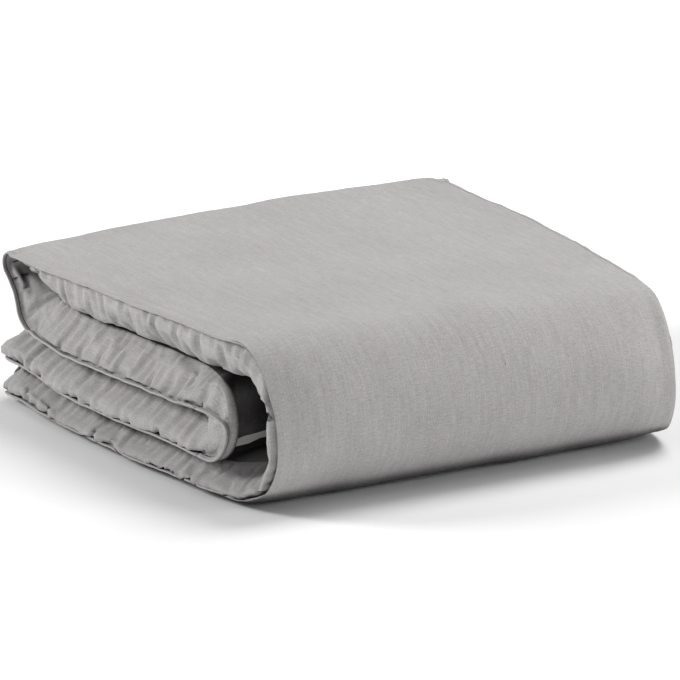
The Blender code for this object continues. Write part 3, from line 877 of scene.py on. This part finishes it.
def stitchTree():
    # Geometry nodes: one row of stitches along each line
    tree = bpy.data.node_groups.new("stitchRow", "GeometryNodeTree")
    addSocket(tree, "Geometry", "NodeSocketGeometry")
    addSocket(tree, "Spacing", "NodeSocketFloat", value=0.003)
    addSocket(tree, "Length", "NodeSocketFloat", value=0.0022)
    addSocket(tree, "Radius", "NodeSocketFloat", value=0.0003)
    addSocket(tree, "Thread", "NodeSocketMaterial")
    addSocket(tree, "Geometry", "NodeSocketGeometry", out=True)
    given, made = tree.nodes.new("NodeGroupInput"), tree.nodes.new("NodeGroupOutput")
    toCurve = tree.nodes.new("GeometryNodeMeshToCurve")
    toPoints = tree.nodes.new("GeometryNodeCurveToPoints")
    toPoints.mode = "LENGTH"
    stitch = tree.nodes.new("GeometryNodeMeshUVSphere")
    stitch.inputs["Segments"].default_value, stitch.inputs["Rings"].default_value = 6, 4
    stitch.inputs["Radius"].default_value = 1.0
    place = tree.nodes.new("GeometryNodeInstanceOnPoints")
    size = tree.nodes.new("ShaderNodeCombineXYZ")
    half = tree.nodes.new("ShaderNodeMath")
    half.operation = "MULTIPLY"
    half.inputs[1].default_value = 0.5
    real = tree.nodes.new("GeometryNodeRealizeInstances")
    finish = tree.nodes.new("GeometryNodeSetMaterial")
    link = tree.links.new
    link(given.outputs["Geometry"], toCurve.inputs["Mesh"])
    link(toCurve.outputs["Curve"], toPoints.inputs["Curve"])
    link(given.outputs["Spacing"], toPoints.inputs["Length"])
    link(toPoints.outputs["Points"], place.inputs["Points"])
    link(toPoints.outputs["Rotation"], place.inputs["Rotation"])
    link(stitch.outputs["Mesh"], place.inputs["Instance"])
    link(given.outputs["Length"], half.inputs[0])
    link(given.outputs["Radius"], size.inputs[0])
    link(given.outputs["Radius"], size.inputs[1])
    link(half.outputs[0], size.inputs[2])
    link(size.outputs[0], place.inputs["Scale"])
    link(place.outputs["Instances"], real.inputs["Geometry"])
    link(real.outputs["Geometry"], finish.inputs["Geometry"])
    link(given.outputs["Thread"], finish.inputs["Material"])
    link(finish.outputs["Geometry"], made.inputs["Geometry"])
    return tree


stitchRow = stitchTree()


def stitches(name, lines, spacing, length, radius, material):
    data = bpy.data.meshes.new(name + "_line")
    points, edges = [], []
    for line in lines:
        start = len(points)
        points += [tuple(p) for p in line]
        edges += [(start + i, start + i + 1) for i in range(len(line) - 1)]
    data.from_pydata(points, edges, [])
    guide = bpy.data.objects.new(name + "_line", data)
    bpy.context.scene.collection.objects.link(guide)
    rows = guide.modifiers.new("stitches", "NODES")
    rows.node_group = stitchRow
    values = {"Spacing": spacing, "Length": length, "Radius": radius, "Thread": material}
    for item in stitchRow.interface.items_tree:
        if item.in_out == "INPUT" and item.name in values:
            rows[item.identifier] = values[item.name]
    graph = bpy.context.evaluated_depsgraph_get()
    mesh = bpy.data.meshes.new_from_object(guide.evaluated_get(graph), depsgraph=graph)
    mesh.name = name
    made = bpy.data.objects.new(name, mesh)
    bpy.context.scene.collection.objects.link(made)
    bpy.data.objects.remove(guide, do_unlink=True)
    mesh.shade_smooth()
    return made


# Edge stitching on the hem that runs on under the second run, round the inner bend and back
def hemStitches(name, span):
    first, last = span
    lines = []
    for path, out, over, width, thickness in seams:
        cut = slice(first, last + 1)
        for face in (1, -1):
            line = path[cut] + out[cut] * (width[cut] * 0.62)[:, None]
            line = line + over[cut] * (face * thickness[cut] * 0.46)[:, None]
            lines.append(line)
    return stitches(name, lines, 0.0034, 0.0024, 0.00032, thread)


seamStitches = {name: hemStitches("seam_stitches_" + name, spans[name])
                for name in ("secondRun", "innerBend", "thirdRun")}
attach(seamStitches["secondRun"], "upper_half")
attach(seamStitches["thirdRun"], "lower_half")
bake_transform(seamStitches["innerBend"])


# The buttoned end of the cover: two hems, one over the other
hem = {
    "low": 0.0018, "high": 0.0345, "half": 0.2370,
    "thickness": 0.0015,
    "corner": 0.007,          # rounding of its ends
    "cells": 150, "rows": 12,
    "wave": 0.0006, "waveSize": 0.07,
    "fineWave": 0.0003, "fineSize": 0.022,
    "rise": 0.0012, "riseSize": 0.09,
    "seed": 5.0,
    "stitchRows": (0.16, 0.84),
    "faces": {"foot_hem_inner": -0.2432, "foot_hem_outer": -0.2451},
}


def endSlope(z):
    # How far the pillow end of the bottom run falls back at this height
    closed = np.clip((z / strip["run"] - 0.14) / 0.86, 0.16, 0.999)
    return 0.016 * (1 - np.sqrt(np.clip(1 - ((closed - 0.16) / 0.84) ** 2, 0, 1)))


def hemWave(y, seed):
    coarse = hem["wave"] * noiseAt(y / hem["waveSize"], seed)
    return abs(coarse + hem["fineWave"] * noiseAt(y / hem["fineSize"], seed + 3)) * 0.6


def hemRise(y, seed):
    return hem["rise"] * noiseAt(y / hem["riseSize"], seed + 6)


def hemBand(name, back, seed):
    rows, cells, half = hem["rows"], hem["cells"], hem["half"]
    grid = np.zeros((cells + 1, rows + 1, 3))
    for i in range(cells + 1):
        y = -half + 2 * half * i / cells
        cut = max(0.0, hem["corner"] - (half - abs(y)))
        ease = hem["corner"] - math.sqrt(max(0.0, hem["corner"] ** 2 - cut ** 2))
        low, high = hem["low"] + ease, hem["high"] - ease
        wave, rise = hemWave(y, seed), hemRise(y, seed)
        for j in range(rows + 1):
            z = low + (high - low) * j / rows
            grid[i, j] = (back + endSlope(z) - wave, y, z + rise * j / rows)
    front = grid.copy()
    swell = np.sin(np.linspace(0, math.pi, rows + 1)) ** 0.4
    front[..., 0] -= hem["thickness"] * (0.45 + 0.55 * swell)[None, :]
    both = np.concatenate([leanStack(front), leanStack(grid)[:, ::-1]], axis=1)
    count = both.shape[1]
    faces = ringFaces(cells + 1, count)
    faces += [tuple(range(count)), tuple(cells * count + i for i in reversed(range(count)))]
    made = meshFrom(name, both.reshape(-1, 3), faces)
    fixNormals(made)
    made.data.materials.append(hemLinen)
    made.data.shade_smooth()
    lines = []
    for share in hem["stitchRows"]:
        z = hem["low"] + (hem["high"] - hem["low"]) * share
        line = np.array([(back + endSlope(z) - hem["thickness"] - 0.0002, y, z)
                         for y in np.linspace(-half + 0.004, half - 0.004, 120)])
        for p in line:
            p[0] -= hemWave(p[1], seed)
            p[2] += hemRise(p[1], seed) * share
        lines.append(leanStack(line))
    return made, lines


stitchLines = []
for number, (name, back) in enumerate(hem["faces"].items()):
    made, lines = hemBand("foot_hem_" + ("under" if number == 0 else "over"), back, hem["seed"])
    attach(made, "lower_half")
    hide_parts(name)
    if number == 1:
        stitchLines = lines
hemRows = stitches("hem_stitches", stitchLines, 0.0034, 0.0025, 0.00032, thread)
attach(hemRows, "lower_half")

# Buttons of dyed shell, each through a worked buttonhole
button = {
    "rings": 26, "segments": 56, "edgeRings": 5,
    "dish": 0.0007,           # hollow of its middle
    "edgeDrop": 0.0005,
    "backTaper": 0.0010,
    "hole": 0.00095, "holeDepth": 0.0016, "spacing": 0.0017,
    "nodes": ["button_1", "button_2", "button_3"],
    "holeLength": 0.0185, "holeWidth": 0.0016,   # the worked buttonhole
}


def buttonMesh(name, low, high):
    radius = (high[1] - low[1]) / 2
    centreY, centreZ = (low[1] + high[1]) / 2, (low[2] + high[2]) / 2
    depth = high[0] - low[0]
    rings, segments, drop = button["rings"], button["segments"], button["edgeDrop"]
    face = rings - button["edgeRings"]
    grid = np.zeros((rings + 1, segments, 3))
    for i in range(rings + 1):
        r = radius * min(1.0, i / face * 0.97) if i <= face else radius
        for j in range(segments):
            a = 2 * math.pi * j / segments
            u, v = r * math.cos(a), r * math.sin(a)
            front = button["dish"] * (1 - float(smooth((r - radius * 0.55) / (radius * 0.2))))
            front += drop * float(smooth((r - radius + 0.0012) / 0.0012))
            for hx, hy in ((1, 1), (1, -1), (-1, 1), (-1, -1)):
                away = math.hypot(u - hx * button["spacing"], v - hy * button["spacing"])
                outside = float(smooth((away - button["hole"] * 0.7) / (button["hole"] * 0.5)))
                front += button["holeDepth"] * (1 - outside)
            if i > face:
                t = (i - face) / button["edgeRings"]
                front = drop + (depth - drop) * t
                r2 = radius - button["backTaper"] * t * t
                u, v = r2 * math.cos(a), r2 * math.sin(a)
            grid[i, j] = (low[0] + front, centreY + u, centreZ + v)
    faces = ringFaces(rings + 1, segments)
    faces += [tuple(range(segments)), tuple(rings * segments + j for j in reversed(range(segments)))]
    made = meshFrom(name, grid.reshape(-1, 3), faces)
    mesh = bmesh.new()
    mesh.from_mesh(made.data)
    bmesh.ops.remove_doubles(mesh, verts=mesh.verts, dist=0.000005)
    bmesh.ops.recalc_face_normals(mesh, faces=mesh.faces)
    mesh.to_mesh(made.data)
    mesh.free()
    made.data.shade_smooth()
    made.data.set_sharp_from_angle(angle=math.radians(50))
    return made


def shellMaterial():
    made = bpy.data.materials.new("greyShell")
    made.use_nodes = True
    tree = made.node_tree
    shader = tree.nodes["Principled BSDF"]
    source = tree.nodes.new("ShaderNodeTexCoord").outputs["Object"]
    bands = tree.nodes.new("ShaderNodeTexWave")
    bands.inputs["Scale"].default_value = 130.0
    bands.inputs["Distortion"].default_value = 9.0
    bands.inputs["Detail"].default_value = 3.0
    bands.inputs["Detail Scale"].default_value = 0.6
    tree.links.new(source, bands.inputs["Vector"])
    ramp = tree.nodes.new("ShaderNodeValToRGB")
    ramp.color_ramp.elements[0].color = (0.22, 0.20, 0.19, 1)
    ramp.color_ramp.elements[1].color = (0.50, 0.47, 0.44, 1)
    tree.links.new(bands.outputs["Fac"], ramp.inputs["Fac"])
    tree.links.new(ramp.outputs["Color"], shader.inputs["Base Color"])
    rough = maths(tree, "MULTIPLY_ADD", noiseNode(tree, source, 900.0), 0.18, 0.22)
    tree.links.new(rough, shader.inputs["Roughness"])
    relief = tree.nodes.new("ShaderNodeBump")
    relief.inputs["Strength"].default_value = 0.15
    relief.inputs["Distance"].default_value = 0.0002
    tree.links.new(bands.outputs["Fac"], relief.inputs["Height"])
    tree.links.new(relief.outputs["Normal"], shader.inputs["Normal"])
    shader.inputs["Coat Weight"].default_value = 0.35
    shader.inputs["Coat Roughness"].default_value = 0.12
    return made


shell = shellMaterial()
holeLines, crossLines = [], []
for name in button["nodes"]:
    low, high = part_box(name)
    made = buttonMesh("shell_" + name, low, high)
    made.data.materials.append(shell)
    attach(made, "lower_half")
    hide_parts(name)
    y, z, x = (low[1] + high[1]) / 2, (low[2] + high[2]) / 2, high[0] + 0.00005
    long, wide = button["holeLength"] / 2, button["holeWidth"] / 2
    # The buttonhole runs along the hem, so its ends show past the button
    holeLines.append([(x, y - long, z - wide), (x, y + long, z - wide)])
    holeLines.append([(x, y - long, z + wide), (x, y + long, z + wide)])
    for end in (-1, 1):
        tip = y + end * (long + 0.0003)
        holeLines.append([(x, tip, z - wide * 1.6), (x, tip, z + wide * 1.6)])
    gap = button["spacing"]
    for side in (-1, 1):
        crossLines.append([(low[0] + 0.0004, y - gap, z + side * gap), (low[0] + 0.0002, y, z + side * gap),
                           (low[0] + 0.0004, y + gap, z + side * gap)])
worked = stitches("buttonhole_stitches", holeLines, 0.0005, 0.0007, 0.00035, thread)
sewn = stitches("button_thread", crossLines, 0.0006, 0.0018, 0.00040, thread)
for piece in (worked, sewn):
    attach(piece, "lower_half")
print("closure ready")

# The blank care label, caught in the seam above the third run on the far side
label = {"box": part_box("care_label"), "out": 0.0085, "thickness": 0.0007, "cells": 16, "rows": 12}


def labelMesh():
    low, high = label["box"]
    cells, rows = label["cells"], label["rows"]
    top, bottom = high[2] + 0.001, low[2]
    grid = np.zeros((cells + 1, rows + 1, 3))
    for i in range(cells + 1):
        x = low[0] + (high[0] - low[0]) * i / cells
        for j in range(rows + 1):
            t = j / rows
            y = high[1] + label["out"] * math.sin(min(1, t * 1.8) * math.pi / 2) + 0.0016 * t * t
            y += 0.0006 * math.sin(i / cells * math.pi * 1.4 + 0.5) * t
            grid[i, j] = (x, y, top + (bottom - top) * t)
    back = grid.copy()
    back[..., 1] -= label["thickness"]
    both = np.concatenate([leanStack(grid), leanStack(back)[:, ::-1]], axis=1)
    count = both.shape[1]
    faces = ringFaces(cells + 1, count)
    faces += [tuple(range(count)), tuple(cells * count + i for i in reversed(range(count)))]
    made = meshFrom("blank_label", both.reshape(-1, 3), faces)
    fixNormals(made)
    made.data.materials.append(tape)
    made.data.shade_smooth()
    made.data.set_sharp_from_angle(angle=math.radians(50))
    edge = leanStack(grid[:, 1] + np.array([0, 0.0002, 0]))
    return made, edge


care, edge = labelMesh()
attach(care, "lower_half")
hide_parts("care_label")
careStitches = stitches("label_stitches", [edge], 0.0026, 0.0018, 0.00026, thread)
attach(careStitches, "lower_half")

# Cotton tapes that tie the insert's corners to the cover, inside its ends
ties = {"nodes": ["corner_tie_foot_near", "corner_tie_foot_far", "corner_tie_head_near", "corner_tie_head_far"],
        "inwards": 0.0075, "cells": 40, "thickness": 0.0011, "width": 0.0075}


def tieMesh(name, low, high):
    # A tape with its middle gathered into a knot
    cells = ties["cells"]
    outline = [(-0.5, -0.5), (-0.5, 0.5), (0.5, 0.5), (0.5, -0.5)]
    x, z = high[0] + ties["inwards"], (low[2] + high[2]) / 2
    rings = []
    for i in range(cells + 1):
        t = i / cells
        y = low[1] + (high[1] - low[1]) * t
        knot = math.exp(-((t - 0.5) / 0.07) ** 2)
        wide = ties["width"] * (1 - 0.55 * knot)
        deep = ties["thickness"] * (1 + 2.2 * knot)
        turn = 0.35 * math.sin(t * 9.0)
        ring = []
        for u, v in outline:
            a, b = u * deep, v * wide
            ring.append((x + a * math.cos(turn) - b * math.sin(turn) * 0.3, y, z + b * math.cos(turn) + a * 0.2
                         + 0.0012 * math.sin(t * 6.5)))
        rings.append(ring)
    points = np.array(rings)
    faces = ringFaces(cells + 1, 4) + [(0, 1, 2, 3), tuple(cells * 4 + i for i in (3, 2, 1, 0))]
    made = meshFrom(name, points.reshape(-1, 3), faces)
    fixNormals(made)
    made.data.materials.append(tape)
    return made


for name in ties["nodes"]:
    made = tieMesh("tape_" + name, *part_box(name))
    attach(made, "lower_half")
    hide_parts(name)
print("label and ties ready")


def buildStage():
    sizes = {"azimuth": 59.5, "elevation": 16.25, "distance": 9.0, "lens": 485.0, "aim": (0.0, 0.0, 0.075),
             "left": 0.0074, "up": 0.0105, "floor": 12.0,
             "glowStart": 0.40, "glowEnd": 1.10, "glow": 0.45}
    scene = bpy.context.scene
    a, e = math.radians(sizes["azimuth"]), math.radians(sizes["elevation"])
    back = Vector((math.sin(a) * math.cos(e), -math.cos(a) * math.cos(e), math.sin(e)))
    across = Vector((math.cos(a), math.sin(a), 0))
    above = back.cross(across)
    aim = Vector(sizes["aim"]) - across * sizes["left"] + above * sizes["up"]
    lens = bpy.data.cameras.new("camera")
    lens.lens, lens.sensor_width = sizes["lens"], 36.0
    lens.clip_end = 60
    camera = bpy.data.objects.new("camera", lens)
    scene.collection.objects.link(camera)
    camera.location = aim + back * sizes["distance"]
    camera.rotation_euler = back.to_track_quat("Z", "Y").to_euler()
    scene.camera = camera
    half = sizes["floor"] / 2
    floor = meshFrom("floor", [(-half, -half, 0), (half, -half, 0), (half, half, 0), (-half, half, 0)],
                     [(0, 1, 2, 3)])
    glowingFloor = bpy.data.materials.new("paleGlowingFloor")
    glowingFloor.use_nodes = True
    shader = glowingFloor.node_tree.nodes["Principled BSDF"]
    shader.inputs["Base Color"].default_value = (0.93, 0.93, 0.93, 1)
    shader.inputs["Roughness"].default_value = 0.9
    shader.inputs["Specular IOR Level"].default_value = 0.1
    # Painted light: the floor glows, more with distance from the object, so that it fades into the white around it
    place = glowingFloor.node_tree.nodes.new("ShaderNodeTexCoord")
    away = glowingFloor.node_tree.nodes.new("ShaderNodeVectorMath")
    away.operation = "LENGTH"
    glowingFloor.node_tree.links.new(place.outputs["Object"], away.inputs[0])
    glow = glowingFloor.node_tree.nodes.new("ShaderNodeMapRange")
    glow.interpolation_type = "SMOOTHSTEP"
    glowingFloor.node_tree.links.new(away.outputs["Value"], glow.inputs["Value"])
    glow.inputs["From Min"].default_value = sizes["glowStart"]
    glow.inputs["From Max"].default_value = sizes["glowEnd"]
    glow.inputs["To Min"].default_value, glow.inputs["To Max"].default_value = 0.0, sizes["glow"]
    glowingFloor.node_tree.links.new(glow.outputs["Result"], shader.inputs["Emission Strength"])
    shader.inputs["Emission Color"].default_value = (1, 1, 1, 1)
    floor.data.materials.append(glowingFloor)
    world = bpy.data.worlds.new("studio")
    world.use_nodes = True
    tree = world.node_tree
    around, seen = tree.nodes["Background"], tree.nodes.new("ShaderNodeBackground")
    around.inputs["Color"].default_value = (1, 1, 1, 1)
    around.inputs["Strength"].default_value = 0.24
    seen.inputs["Strength"].default_value = 1.0
    seen.inputs["Color"].default_value = (1, 1, 1, 1)
    ray, mix = tree.nodes.new("ShaderNodeLightPath"), tree.nodes.new("ShaderNodeMixShader")
    tree.links.new(ray.outputs["Is Camera Ray"], mix.inputs[0])
    tree.links.new(around.outputs[0], mix.inputs[1])
    tree.links.new(seen.outputs[0], mix.inputs[2])
    tree.links.new(mix.outputs[0], tree.nodes["World Output"].inputs["Surface"])
    scene.world = world

    def softbox(name, place, size, power, towards=(0, 0, 0.05)):
        lamp = bpy.data.lights.new(name, "AREA")
        lamp.shape, lamp.size, lamp.energy = "DISK", size, power
        made = bpy.data.objects.new(name, lamp)
        scene.collection.objects.link(made)
        made.location = place
        made.rotation_euler = (Vector(place) - Vector(towards)).to_track_quat("Z", "Y").to_euler()

    softbox("key", (0.1, 1.1, 2.3), 1.5, 41)
    softbox("left", (-1.3, -2.3, 1.5), 1.0, 58)
    softbox("right", (2.0, 1.3, 0.9), 1.0, 17)
    scene.view_settings.view_transform = "Standard"


buildStage()
